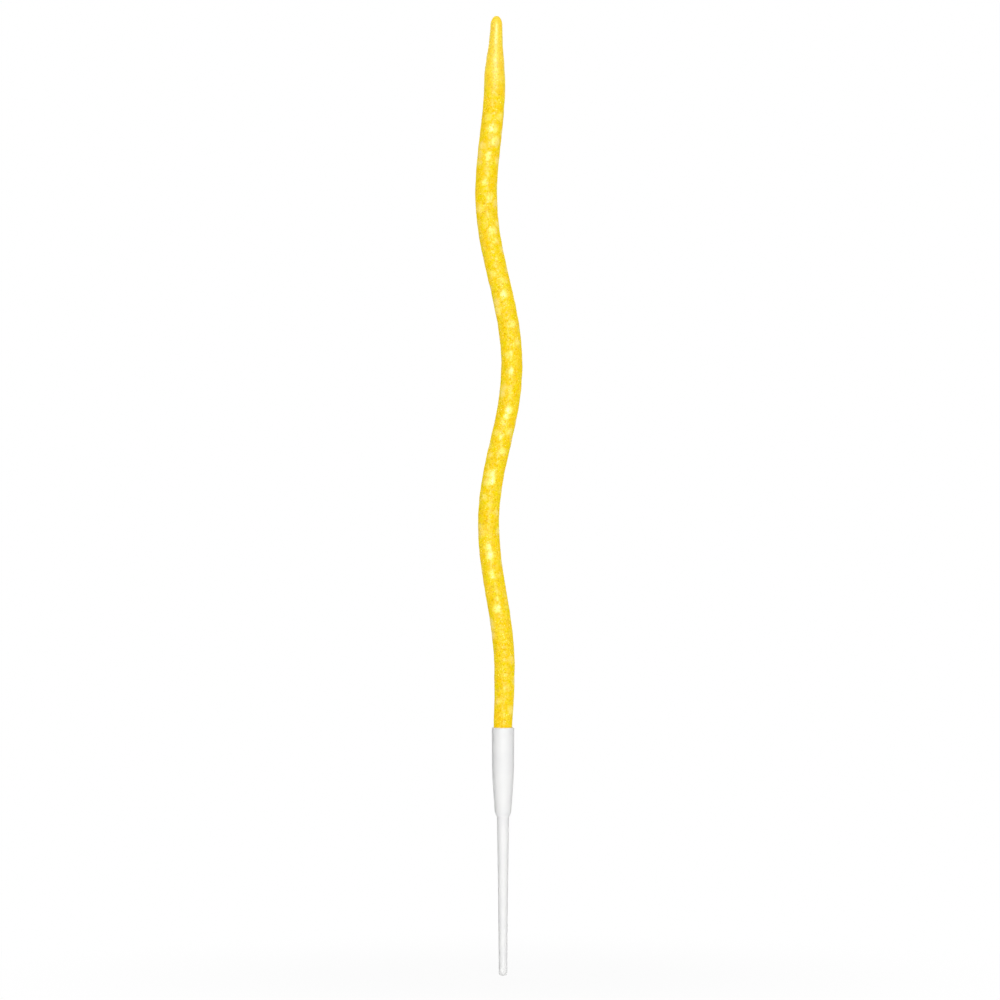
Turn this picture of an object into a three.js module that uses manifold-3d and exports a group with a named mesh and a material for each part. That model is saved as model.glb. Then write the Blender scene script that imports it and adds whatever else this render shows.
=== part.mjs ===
// A tall wavy birthday candle, push-fitted in its moulded cake holder.
// Millimetres, +Z up. The origin is on the holder's axis, level with the underside of its cup,
// which stops on the icing: the spike is below it, and the cup and the candle are above it.
// The candle is made as the real one is: drawn and dipped straight, as coaxial layers on a wick,
// and then bent to its wave. The wave lies in the XZ plane.

import * as THREE from "three";
import { mergeVertices } from "three/addons/utils/BufferGeometryUtils.js";
import Module from "manifold-3d";

// Holder: the spike that goes into the cake
const spikeLength = 31.6;
const spikeRootDiameter = 2.42;
const spikeEndDiameter = 1.68;
const spikeEndRound = 0.6;
const spikeFlare = 1.5; // the power by which the spike widens towards its root
const spikeRootFillet = 0.1;

// Holder: the cup
const cupHeight = 17.5;
const rimDiameter = 4.44;
const cupDraft = 0.3; // degrees, over the straight upper part
const straightDepth = 9; // from the rim to where the outside starts to taper
const taperBlend = 2; // half the height over which straight and taper run into each other
const bevelWidth = 0.33; // the slanting underside of the cup, from the spike's root out
const bevelHeight = 0.8;
const rimRound = 0.2;

// Holder: the socket in the cup, cored out below the candle's seat
const socketWall = 0.34;
const socketDraft = 0.5; // degrees
const leadIn = 0.1; // chamfer at the mouth
const floorThickness = 2.9;
const ribCount = 4; // webs that the candle stands on
const ribHeight = 5.6;
const ribThickness = 0.5;
const ribChannel = 1.5; // diameter left clear between the ribs

// Candle: its layers
const wickDiameter = 1;
const coatThickness = 0.25;
const wickSetback = 0.7; // wax over the wick's upper end, below the coat
const layerGap = 0.05;
const fitGap = 0.05; // round the stub in the socket, and under it

// Candle: its outline, as lengths along it from the tip down and the thickness there
const domeLength = 1.9;
const domeDiameter = 2.38;
const tipLength = 3.75;
const tipDiameter = 2.74;
const shoulderLength = 8;
const shoulderDiameter = 4.16;
const swellRun = 13;
const swellDiameter = 4.36;
const waistRun = 24.5;
const waistDiameter = 4.2;
const neckRun = 21.4; // up from the rim, where the candle is thinner, to the full body
const bodyDiameter = 4.18;

// Candle: its wave, turn by turn from the rim up: each turn's height above the last one, and its
// place across from the holder's axis
const stubStraight = 0.5; // above the rim, before the wave starts
const leanRise = 7;
const uprightRise = 4.1; // on from the lean, at the same place across
const leanAcross = 0.28;
const lowerTurnRise = 28.9;
const lowerTurnAcross = -2.86;
const middleTurnRise = 31.3;
const middleTurnAcross = 1.75;
const upperTurnRise = 33.7;
const upperTurnAcross = -3.33;
const shoulderRise = 22.6;
const shoulderAcross = -1.64;
const tipRise = 12.8;
const tipAcross = -1.29;

// Fineness of the facets
const candleSides = 24;
const wickSides = 12;
const holderSides = 32;
const ringPitch = 3.2;
const domeSteps = 5;
const arcSteps = 4;
const filletSteps = 2;
const spikeSteps = 6;

const degree = Math.PI / 180;

const wasm = await Module();
wasm.setup();

/** A share of the way from one value to another, level at both ends. */
function ease(from, to, share) {
  return from + ((to - from) * (1 - Math.cos(Math.PI * share))) / 2;
}

/** A share of the way from one value to another, level only at the larger, as a dipped end is. */
function crown(from, to, share) {
  const turn = (Math.PI / 2) * share;
  return to > from ? from + (to - from) * Math.sin(turn) : to + (from - to) * Math.cos(turn);
}

/** The value at a place between stations sorted by place; each says the form of the way up to it. */
function between(stations, place) {
  if (place <= stations[0].place) return stations[0].value;
  for (let i = 1; i < stations.length; i++) {
    const low = stations[i - 1];
    const high = stations[i];
    if (place <= high.place) {
      return high.form(low.value, high.value, (place - low.place) / (high.place - low.place));
    }
  }
  return stations[stations.length - 1].value;
}

/** A revolve about Z of [radius, height] points, listed from the lower axis point round the outside. */
function revolve(points, sides) {
  const outline = points.map(([radius, height]) => new THREE.Vector2(radius, height));
  return new THREE.LatheGeometry(outline, sides).rotateX(Math.PI / 2);
}

/** A closed geometry as a solid that can be joined and cut. */
function toSolid(geometry) {
  const bare = geometry.clone();
  bare.deleteAttribute("normal");
  bare.deleteAttribute("uv");
  const merged = mergeVertices(bare, 1e-4);
  return new wasm.Manifold(
    new wasm.Mesh({
      numProp: 3,
      vertProperties: merged.attributes.position.array,
      triVerts: new Uint32Array(merged.index.array),
    }),
  );
}

/** A solid as a geometry. */
function toGeometry(solid) {
  const mesh = solid.getMesh();
  return new THREE.BufferGeometry()
    .setAttribute("position", new THREE.BufferAttribute(new Float32Array(mesh.vertProperties), 3))
    .setIndex(new THREE.BufferAttribute(new Uint32Array(mesh.triVerts), 1));
}

/** Points on an arc, from one angle to another in degrees, both ends included. */
function arc(centreRadius, centreHeight, radius, from, to, steps) {
  const points = [];
  for (let i = 0; i <= steps; i++) {
    const angle = (from + ((to - from) * i) / steps) * degree;
    points.push([centreRadius + radius * Math.cos(angle), centreHeight + radius * Math.sin(angle)]);
  }
  return points;
}

// The cup's walls, by the depth below the rim

const spikeRootRadius = spikeRootDiameter / 2;
const cupBaseRadius = spikeRootRadius + spikeRootFillet + bevelWidth; // at the bevel's top
const socketDepth = cupHeight - floorThickness;
const seatDepth = socketDepth - ribHeight;

/** The cup's outer radius along its straight upper part. */
function straightRadius(depth) {
  return rimDiameter / 2 - depth * Math.tan(cupDraft * degree);
}

const taperDepth = cupHeight - bevelHeight - straightDepth;
const taperSlope = (straightRadius(straightDepth) - cupBaseRadius) / taperDepth;

/** The cup's outer radius: straight, then a blend of two tangent lines, then the taper. */
function cupRadius(depth) {
  const past = depth - straightDepth;
  if (past <= -taperBlend) return straightRadius(depth);
  if (past >= taperBlend) return straightRadius(straightDepth) - past * taperSlope;
  const share = (past + taperBlend) / (2 * taperBlend);
  const drop = taperSlope - Math.tan(cupDraft * degree);
  return straightRadius(depth) - drop * taperBlend * share * share;
}

/** The socket's radius where the candle stands in it. */
function socketRadius(depth) {
  return rimDiameter / 2 - socketWall - depth * Math.tan(socketDraft * degree);
}

/** The spike's radius, by the share of the way from its end up to its root. */
function spikeRadius(share) {
  const flare = share ** spikeFlare;
  return (spikeEndDiameter + (spikeRootDiameter - spikeEndDiameter) * flare) / 2;
}

/** The holder without its socket: spike, bevel and cup. */
function holderBlank() {
  const endCentre = spikeEndDiameter / 2 - spikeEndRound;
  const taperFoot = -spikeLength + spikeEndRound;
  const taperHead = -spikeRootFillet;
  const filletCentre = spikeRootRadius + spikeRootFillet;
  const outline = [
    [0, -spikeLength],
    ...arc(endCentre, taperFoot, spikeEndRound, -90, 0, arcSteps),
  ];
  for (let i = 1; i < spikeSteps; i++) {
    const share = i / spikeSteps;
    outline.push([spikeRadius(share), taperFoot + (taperHead - taperFoot) * share]);
  }
  outline.push(...arc(filletCentre, taperHead, spikeRootFillet, 180, 90, filletSteps));
  outline.push([cupBaseRadius, bevelHeight]);
  const blendSteps = 2 * arcSteps;
  for (let i = blendSteps; i >= 0; i--) {
    const depth = straightDepth + taperBlend * ((2 * i) / blendSteps - 1);
    outline.push([cupRadius(depth), cupHeight - depth]);
  }
  const rimCentre = straightRadius(rimRound) - rimRound;
  outline.push(...arc(rimCentre, cupHeight - rimRound, rimRound, 0, 90, arcSteps));
  outline.push([0, cupHeight]);
  return toSolid(revolve(outline, holderSides));
}

/** The hollow of the cup: lead-in, drafted socket, and the core that keeps the taper's wall even. */
function socketHollow() {
  const seat = socketRadius(seatDepth);
  const coreWall = cupRadius(seatDepth) - seat;
  const past = 2 * leadIn; // carries the lead-in's slope on above the rim, so that the cut is clean
  const outline = [
    [0, cupHeight - socketDepth],
    [cupRadius(socketDepth) - coreWall, cupHeight - socketDepth],
    [seat, cupHeight - seatDepth],
    [socketRadius(leadIn), cupHeight - leadIn],
    [socketRadius(leadIn) + leadIn + past, cupHeight + past],
    [0, cupHeight + past],
  ];
  return toSolid(revolve(outline, holderSides));
}

/** The radial webs in the cored taper, level at the top, that stop the candle. */
function seatRibs() {
  const reach = rimDiameter / 2;
  const middle = floorThickness + ribHeight / 2;
  const radius = ribChannel / 2;
  const channel = new THREE.CylinderGeometry(radius, radius, 2 * ribHeight, wickSides);
  const clear = toSolid(channel.rotateX(Math.PI / 2).translate(0, 0, middle));
  let ribs = null;
  for (let i = 0; i < ribCount; i++) {
    const web = new THREE.BoxGeometry(reach, ribThickness, ribHeight);
    web.translate(reach / 2, 0, middle).rotateZ((2 * Math.PI * (i + 0.5)) / ribCount);
    ribs = ribs ? ribs.add(toSolid(web)) : toSolid(web);
  }
  return ribs.subtract(clear);
}

/** The holder, one moulding: the blank, less the hollow that the ribs leave. */
function holderGeometry() {
  return toGeometry(holderBlank().subtract(socketHollow().subtract(seatRibs())));
}

// The candle's centreline, from the stub's foot to the tip

const footHeight = cupHeight - seatDepth + fitGap;
const turns = [
  [leanRise, leanAcross],
  [uprightRise, leanAcross],
  [lowerTurnRise, lowerTurnAcross],
  [middleTurnRise, middleTurnAcross],
  [upperTurnRise, upperTurnAcross],
  [shoulderRise, shoulderAcross],
  [tipRise, tipAcross],
];
const wave = [{ place: cupHeight + stubStraight, value: 0 }];
for (const [rise, across] of turns) {
  wave.push({ place: wave[wave.length - 1].place + rise, value: across, form: ease });
}
const tipHeight = wave[wave.length - 1].place;

/** The wavy line that the candle is bent along. */
class Centreline extends THREE.Curve {
  getPoint(share, target = new THREE.Vector3()) {
    const height = footHeight + (tipHeight - footHeight) * share;
    return target.set(between(wave, height), 0, height);
  }
}

const centreline = new Centreline();
centreline.arcLengthDivisions = 1200;
const candleLength = centreline.getLength();

// The candle's outline when straight, by the height above its foot

const rimPlace = cupHeight - footHeight;
const domeBase = candleLength - domeLength;
const tipBase = domeBase - tipLength;
const shoulderBase = tipBase - shoulderLength;
const swellPlace = shoulderBase - swellRun;
const stations = [
  { place: rimPlace, value: socketRadius(0) - fitGap },
  { place: rimPlace + neckRun, value: bodyDiameter / 2, form: crown },
  { place: swellPlace - waistRun, value: waistDiameter / 2, form: ease },
  { place: swellPlace, value: swellDiameter / 2, form: ease },
  { place: shoulderBase, value: shoulderDiameter / 2, form: ease },
  { place: tipBase, value: tipDiameter / 2, form: crown },
  { place: domeBase, value: domeDiameter / 2, form: ease },
];

/** The straight candle's radius below the dome. In the socket it keeps the socket's draft. */
function candleRadius(height) {
  if (height < rimPlace) return socketRadius(rimPlace - height) - fitGap;
  return between(stations, height);
}

/** Heights of the rings of facets, from the foot to the dome, closer together where the tip narrows. */
function ringHeights() {
  const heights = [];
  const marks = [0, ...stations.map(({ place }) => place)];
  for (let i = 1; i < marks.length; i++) {
    const run = marks[i] - marks[i - 1];
    const pitch = marks[i] > shoulderBase ? ringPitch / 2 : ringPitch;
    const steps = Math.ceil(run / pitch);
    for (let k = 0; k < steps; k++) heights.push(marks[i - 1] + (run * k) / steps);
  }
  heights.push(domeBase);
  return heights;
}

const rings = ringHeights();

/** One side of a layer, from the foot to the pole of the dome, inset from the candle's surface. */
function layerSide(inset) {
  const side = rings.map((height) => [candleRadius(height) - inset, height]);
  for (let i = 1; i <= domeSteps; i++) {
    const angle = (90 * degree * i) / domeSteps;
    const radius = i < domeSteps ? (domeDiameter / 2 - inset) * Math.cos(angle) : 0;
    side.push([radius, domeBase + (domeLength - inset) * Math.sin(angle)]);
  }
  return side;
}

/** A cylinder's side with the candle's rings, so that it bends as the layers round it do. */
function straightSide(radius, top) {
  const side = rings.filter((height) => height < top).map((height) => [radius, height]);
  side.push([radius, top], [0, top]);
  return side;
}

/** Bends a straight piece that stands on the foot so that it follows the centreline. */
function bend(geometry) {
  const position = geometry.getAttribute("position");
  const point = new THREE.Vector3();
  for (let i = 0; i < position.count; i++) {
    const share = Math.min(Math.max(position.getZ(i) / candleLength, 0), 1);
    const along = centreline.getTangentAt(share);
    const across = new THREE.Vector3(along.z, 0, -along.x);
    centreline.getPointAt(share, point).addScaledVector(across, position.getX(i));
    position.setXYZ(i, point.x, position.getY(i), point.z);
  }
  return geometry;
}

/** A layer of the candle between an outer side and an inner side, open at the foot. */
function layerGeometry(outer, inner) {
  return bend(revolve([...inner.reverse(), ...outer], candleSides));
}

const coreInset = coatThickness + layerGap;
const wickTop = candleLength - coreInset - wickSetback;

/** The sparkling dip coat: a thin sleeve, closed over the tip. */
function coatGeometry() {
  return layerGeometry(layerSide(0), layerSide(coatThickness));
}

/** The wax body, with the bore that the wick fills. */
function waxGeometry() {
  const bore = straightSide(wickDiameter / 2 + layerGap, wickTop + layerGap);
  return layerGeometry(layerSide(coreInset), bore);
}

/** The wick, cut square at both ends. */
function wickGeometry() {
  return bend(revolve([[0, 0], ...straightSide(wickDiameter / 2, wickTop)], wickSides));
}

/** A named piece of the candle or its holder. */
function piece(name, geometry, finish) {
  const mesh = new THREE.Mesh(geometry, new THREE.MeshStandardMaterial(finish));
  mesh.name = name;
  return mesh;
}

const candle = new THREE.Group();
candle.add(
  piece("wick", wickGeometry(), { color: 0xefe9da, roughness: 0.95, metalness: 0 }),
  piece("wax_core", waxGeometry(), { color: 0xf7e08a, roughness: 0.5, metalness: 0 }),
  piece("glitter_coat", coatGeometry(), { color: 0xfad93c, roughness: 0.3, metalness: 0.1 }),
);

const assembly = new THREE.Group();
assembly.add(
  candle,
  piece("holder", holderGeometry(), { color: 0xf4f4f3, roughness: 0.35, metalness: 0 }),
);

export default assembly;
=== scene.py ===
"""The looks of a tall wavy birthday candle, push-fitted in its moulded cake holder.

Metres, +Z up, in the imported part's own frame: the origin is on the holder's axis, level with the
underside of its cup. The candle is shaped straight, as it is dipped, and then bent to its wave in
the XZ plane. The camera looks along +Y.
"""

from __future__ import annotations

import logging
import math
from dataclasses import dataclass, field
from enum import Enum
from typing import Any, Union

import bpy
import numpy as np
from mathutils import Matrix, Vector


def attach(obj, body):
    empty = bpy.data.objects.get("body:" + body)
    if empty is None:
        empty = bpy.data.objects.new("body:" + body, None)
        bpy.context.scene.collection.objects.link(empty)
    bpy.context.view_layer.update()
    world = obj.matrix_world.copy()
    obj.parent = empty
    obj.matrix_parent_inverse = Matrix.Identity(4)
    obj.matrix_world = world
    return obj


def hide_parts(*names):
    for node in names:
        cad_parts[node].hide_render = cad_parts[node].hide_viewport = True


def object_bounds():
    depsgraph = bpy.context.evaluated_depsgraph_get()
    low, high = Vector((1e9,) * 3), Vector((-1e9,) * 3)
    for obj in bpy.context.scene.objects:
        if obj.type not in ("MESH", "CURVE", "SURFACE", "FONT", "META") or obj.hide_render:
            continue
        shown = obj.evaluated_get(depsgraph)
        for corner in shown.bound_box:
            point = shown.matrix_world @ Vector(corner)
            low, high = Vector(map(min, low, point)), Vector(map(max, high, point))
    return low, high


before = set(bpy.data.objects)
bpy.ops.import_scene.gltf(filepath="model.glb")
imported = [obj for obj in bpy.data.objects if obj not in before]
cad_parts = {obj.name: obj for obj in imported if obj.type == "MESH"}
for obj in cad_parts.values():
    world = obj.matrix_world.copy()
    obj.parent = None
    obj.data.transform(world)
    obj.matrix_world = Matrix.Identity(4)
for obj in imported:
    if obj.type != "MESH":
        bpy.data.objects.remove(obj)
CAD_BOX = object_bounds()

LOG = logging.getLogger("candle")

MM = 1e-3
MIDDLE = 0.5  # of what goes from 0 to 1, such as noise
CANDLE_BODY = "candle_body"
HOLDER_BODY = "holder_body"

Colour = tuple[float, float, float]
Point = tuple[float, float]
Outline = list[Point]
Span = tuple[float, float]


# Numbers and outlines


def srgb(red: int, green: int, blue: int) -> Colour:
    """A colour as a screen shows it, from 0 to 255, in Blender's linear values from 0 to 1."""
    shares = (channel / 255 for channel in (red, green, blue))
    return tuple(s / 12.92 if s <= 0.04045 else ((s + 0.055) / 1.055) ** 2.4 for s in shares)


def ramp(values: np.ndarray, run: float) -> np.ndarray:
    """0 where the values are below 0, and evenly up to 1 where they reach a run."""
    return np.clip(values / run, 0, 1)


class Form(Enum):
    """How an outline goes from one station to the next."""

    EASE = "level at both ends"
    CROWN = "level only at the larger, as a dipped end is"


@dataclass(frozen=True)
class Station:
    """A place along an outline, the value there, and the form of the way up to it."""

    place: float
    value: float
    form: Form = Form.EASE


def between(stations: list[Station], place: float) -> float:
    """The value at a place on an outline.

    Args:
        stations: The outline's stations, sorted by place.
        place: Where the value is wanted.

    Returns:
        The value, held level past both ends.
    """
    if place <= stations[0].place:
        return stations[0].value
    for low, high in zip(stations, stations[1:]):
        if place > high.place:
            continue
        share = (place - low.place) / (high.place - low.place)
        if high.form is Form.EASE:
            return low.value + (high.value - low.value) * (1 - math.cos(math.pi * share)) / 2
        turn = math.pi / 2 * share
        if high.value > low.value:
            return low.value + (high.value - low.value) * math.sin(turn)
        return high.value + (low.value - high.value) * math.cos(turn)
    return stations[-1].value


def arc(centre: Point, radius: float, start: float, end: float, steps: int) -> Outline:
    """Points on an arc of an outline, from a first angle to a last one, in degrees."""
    angles = [math.radians(start + (end - start) * i / steps) for i in range(steps + 1)]
    return [(centre[0] + radius * math.cos(a), centre[1] + radius * math.sin(a)) for a in angles]


# Meshes


@dataclass
class Revolve:
    """A closed form of revolution about Z.

    Attributes:
        outline: Points of radius and height, from a point on the axis, round the outside
            anticlockwise, to another point on the axis.
        sides: How many sides it has.
    """

    outline: Outline
    sides: int

    def points(self) -> np.ndarray:
        """Works out the vertices.

        Returns:
            Their places, ring by ring, and then one for each end of the outline.
        """
        turns = 2 * math.pi * np.arange(self.sides) / self.sides
        rings = [
            np.column_stack([r * np.cos(turns), r * np.sin(turns), np.full(self.sides, z)])
            for r, z in self.outline[1:-1]
        ]
        poles = [np.array([[0, 0, z]]) for z in (self.outline[0][1], self.outline[-1][1])]
        return np.vstack([*rings, *poles])

    def faces(self) -> list[tuple[int, ...]]:
        """Works out the faces.

        Returns:
            Their vertex numbers, in the order that points each face out.
        """
        rings = len(self.outline) - 2
        first_pole = rings * self.sides
        last_ring = (rings - 1) * self.sides
        made = []
        for k in range(self.sides):
            after = (k + 1) % self.sides
            made.append((first_pole, after, k))
            made.append((first_pole + 1, last_ring + k, last_ring + after))
            for low in range(0, last_ring, self.sides):
                high = low + self.sides
                made.append((low + k, low + after, high + after, high + k))
        return made


def new_object(name: str, data: bpy.types.ID) -> bpy.types.Object:
    """Puts an object in the scene, at the origin.

    Args:
        name: Its name.
        data: Its mesh, curve, lamp or camera.

    Returns:
        The new object.
    """
    made = bpy.data.objects.new(name, data)
    bpy.context.scene.collection.objects.link(made)
    return made


def mesh_object(name: str, points: np.ndarray, faces: list[tuple[int, ...]]) -> bpy.types.Object:
    """Makes a mesh object.

    Args:
        name: Its name.
        points: Its vertices, one row each.
        faces: Its faces, as rows of vertex numbers.

    Returns:
        The new object.
    """
    mesh = bpy.data.meshes.new(name)
    mesh.from_pydata(points.tolist(), [], faces)
    mesh.validate()
    return new_object(name, mesh)


def applied(item: bpy.types.Object) -> bpy.types.Mesh:
    """Takes an object's modifiers off, and gives what they made of it.

    Args:
        item: The object, whose own mesh or curve is left as it was.

    Returns:
        The result, as a mesh of its own.
    """
    ready = item.evaluated_get(bpy.context.evaluated_depsgraph_get())
    mesh = bpy.data.meshes.new_from_object(ready)
    item.modifiers.clear()
    return mesh


def smooth(mesh: bpy.types.Mesh, sharp: float) -> None:
    """Shades a mesh smoothly, with its edges sharp past an angle in degrees."""
    mesh.shade_smooth()
    mesh.set_sharp_from_angle(angle=math.radians(sharp))


def dress(piece: bpy.types.Object, material: bpy.types.Material) -> None:
    """Gives a piece one material all over."""
    piece.data.materials.clear()
    piece.data.materials.append(material)


def discard(*objects: bpy.types.Object) -> None:
    """Removes objects that were only needed to make others."""
    for item in objects:
        bpy.data.objects.remove(item)


def stand_for(piece: bpy.types.Object, node: str, body: str) -> bpy.types.Object:
    """Declares a piece that shows in place of a CAD node.

    Args:
        piece: The piece, at the origin.
        node: The CAD node that it stands for.
        body: The CAD body that it moves with.

    Returns:
        The same piece.
    """
    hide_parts(node)
    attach(piece, body)
    LOG.info("%s: %d faces, for %s on %s", piece.name, len(piece.data.polygons), node, body)
    return piece


# Nodes


def find_socket(sockets: Any, key: int | str) -> bpy.types.NodeSocket:
    """A node's socket, by place, or by name among those that its settings leave in use."""
    named = (s for s in sockets if s.enabled and s.name == key.replace("_", " "))
    return sockets[key] if isinstance(key, int) else next(named)


@dataclass(frozen=True)
class Signal:
    """A socket's value on its way through a tree: Python's operators on it add Math nodes."""

    bench: NodeBench
    socket: bpy.types.NodeSocket

    def other(self, name: str) -> Signal:
        """Another output of the same node."""
        return Signal(self.bench, find_socket(self.socket.node.outputs, name))

    def __add__(self, value: Value) -> Signal:
        """This plus a value."""
        return self.bench.maths("ADD", self, value)

    __radd__ = __add__

    def __sub__(self, value: Value) -> Signal:
        """This less a value."""
        return self.bench.maths("SUBTRACT", self, value)

    def __rsub__(self, value: Value) -> Signal:
        """A value less this."""
        return self.bench.maths("SUBTRACT", value, self)

    def __mul__(self, value: Value) -> Signal:
        """This times a value."""
        return self.bench.maths("MULTIPLY", self, value)

    __rmul__ = __mul__

    def __truediv__(self, value: Value) -> Signal:
        """This over a value."""
        return self.bench.maths("DIVIDE", self, value)

    def __rtruediv__(self, value: Value) -> Signal:
        """A value over this."""
        return self.bench.maths("DIVIDE", value, self)

    def rise(self, low: float, high: float) -> Signal:
        """A smooth rise from 0 to 1 as this goes from one number to another."""
        settings = {"interpolation_type": "SMOOTHSTEP", "clamp": True}
        return self.bench.add("ShaderNodeMapRange", settings, self, low, high)


Value = Union[Signal, float]


class NodeBench:
    """A node tree in the making."""

    def __init__(self, tree: bpy.types.NodeTree) -> None:
        """Starts on a tree."""
        self.tree = tree

    def add(
        self, kind: str, settings: dict[str, Any] | None = None, *places: Any, **named: Any
    ) -> Signal:
        """Adds a node.

        Args:
            kind: The node's type.
            settings: Its own properties, which are set first.
            *places: What its first inputs get, in their order: Signals to link, or constants.
            **named: What its inputs get by name, with underscores for the spaces.

        Returns:
            Its first output that is in use.
        """
        node = self.tree.nodes.new(kind)
        for name, value in (settings or {}).items():
            setattr(node, name, value)
        for key, value in [*enumerate(places), *named.items()]:
            socket = find_socket(node.inputs, key)
            if isinstance(value, Signal):
                self.tree.links.new(value.socket, socket)
            else:
                socket.default_value = value
        outputs = [s for s in node.outputs if s.enabled]
        return Signal(self, (outputs or node.inputs)[0])

    def maths(self, operation: str, *values: Value) -> Signal:
        """A Math node's result on these values."""
        return self.add("ShaderNodeMath", {"operation": operation}, *values)

    def vector_maths(self, operation: str, *values: Any) -> Signal:
        """A Vector Math node's result on these values."""
        return self.add("ShaderNodeVectorMath", {"operation": operation}, *values)

    def scaled(self, vector: Signal, factor: Value) -> Signal:
        """A vector times a number."""
        return self.add("ShaderNodeVectorMath", {"operation": "SCALE"}, vector, Scale=factor)

    def noise(self, where: Signal, size: Value, detail: float) -> Signal:
        """Soft noise from 0 to 1 in blotches of about this size, with finer layers in them."""
        return self.add("ShaderNodeTexNoise", Vector=where, Scale=1 / size, Detail=detail)


class MaterialBench(NodeBench):
    """A material's node tree, on Object coordinates."""

    def __init__(self, name: str) -> None:
        """Starts an empty material.

        Args:
            name: The material's name.
        """
        self.material = bpy.data.materials.new(name)
        self.material.use_nodes = True
        self.material.node_tree.nodes.clear()
        super().__init__(self.material.node_tree)
        self.where = self.add("ShaderNodeTexCoord").other("Object")

    def attribute(self, name: str) -> Signal:
        """A named number on the mesh."""
        settings = {"attribute_name": name, "attribute_type": "GEOMETRY"}
        return self.add("ShaderNodeAttribute", settings).other("Fac")

    def cells(self, size: float) -> Signal:
        """How far each place is from the middle of its cell, in cells of about this size."""
        return self.add("ShaderNodeTexVoronoi", Vector=self.where, Scale=1 / size)

    def mixed(self, factor: Value, first: Signal | Colour, second: Signal | Colour) -> Signal:
        """A mix of two colours, from the first at 0 to the second at 1."""
        a, b = (end if isinstance(end, Signal) else (*end, 1) for end in (first, second))
        return self.add("ShaderNodeMix", {"data_type": "RGBA"}, Factor=factor, A=a, B=b)

    def bump(self, height: Signal, depth: float, under: Signal | None = None) -> Signal:
        """A normal that rises and falls with a height, by up to this depth in metres."""
        more = {"Normal": under} if under else {}
        return self.add("ShaderNodeBump", Height=height, Distance=depth, Strength=1.0, **more)

    def end(self, surface: Signal) -> bpy.types.Material:
        """Ends the tree in a shader, and gives the finished material."""
        self.add("ShaderNodeOutputMaterial", Surface=surface)
        return self.material

    def finish(self, **sockets: Any) -> bpy.types.Material:
        """Ends the tree in a Principled shader, whose sockets get these."""
        return self.end(self.add("ShaderNodeBsdfPrincipled", **sockets))


class GrowthBench(NodeBench):
    """A Geometry Nodes tree with named inputs, whose result becomes a plain mesh."""

    def __init__(self, name: str, numbers: tuple[str, ...], counts: tuple[str, ...] = ()) -> None:
        """Starts a tree, which takes a geometry and a material too.

        Args:
            name: The tree's name.
            numbers: The names of its inputs that take a real number.
            counts: The names of its inputs that take a whole one.
        """
        super().__init__(bpy.data.node_groups.new(name, "GeometryNodeTree"))
        face = self.tree.interface
        face.new_socket("Geometry", in_out="OUTPUT", socket_type="NodeSocketGeometry")
        kinds = [("Geometry", ["Geometry"]), ("Float", numbers), ("Int", counts)]
        for kind, labels in [*kinds, ("Material", ["Material"])]:
            for label in labels:
                face.new_socket(label, in_out="INPUT", socket_type=f"NodeSocket{kind}")
        self.geometry = self.add("NodeGroupInput")

    def __getitem__(self, name: str) -> Signal:
        """One of the tree's named inputs."""
        return self.geometry.other(name)

    def attribute(self, name: str) -> Signal:
        """A named number on the geometry."""
        return self.add("GeometryNodeInputNamedAttribute", Name=name)

    def random(self, low: float, high: float, offset: int) -> Signal:
        """A random number for each element, from the tree's seed and an offset to it."""
        kind, seed = {"data_type": "FLOAT"}, self["Seed"] + float(offset)
        return self.add("FunctionNodeRandomValue", kind, Min=low, Max=high, Seed=seed)

    def end(self, geometry: Signal) -> None:
        """Ends the tree: instances made real, the material set.

        Args:
            geometry: What the tree has made.
        """
        real = self.add("GeometryNodeRealizeInstances", Geometry=geometry)
        dressed = self.add("GeometryNodeSetMaterial", Geometry=real, Material=self["Material"])
        self.add("NodeGroupOutput", Geometry=dressed)

    def grow(self, base: bpy.types.Object, maker: Any, **values: Any) -> bpy.types.Mesh:
        """Runs the tree on an object.

        Args:
            base: The object that it starts from, which is left as it was.
            maker: The maker of the piece, whose fields give the inputs of their names.
            **values: The other inputs.

        Returns:
            The result, as a mesh of its own.
        """
        modifier = base.modifiers.new(self.tree.name, "NODES")
        modifier.node_group = self.tree
        inputs = {**vars(maker), **values}
        for item in self.tree.interface.items_tree:
            name = item.name.lower().replace(" ", "_")
            if name in inputs:
                modifier[item.identifier] = inputs[name]
        return applied(base)


# Finishes


@dataclass(frozen=True)
class Patches:
    """Soft patches over a surface, which come from noise.

    Attributes:
        size: How far apart they are.
        detail: How many finer layers the noise has.
        start: The noise's value where a patch starts.
        full: Its value where the patch is full.
    """

    size: float
    detail: float
    start: float = 0.0
    full: float = 1.0

    def noise(self, bench: MaterialBench) -> Signal:
        """The noise itself."""
        return bench.noise(bench.where, self.size, self.detail)

    def among(self, noise: Signal) -> Signal:
        """How full the patches are where the noise has this value, from 0 to 1."""
        return noise.rise(self.start, self.full)

    def on(self, bench: MaterialBench) -> Signal:
        """How full the patches are at each place, from 0 to 1."""
        return self.among(self.noise(bench))


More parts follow.
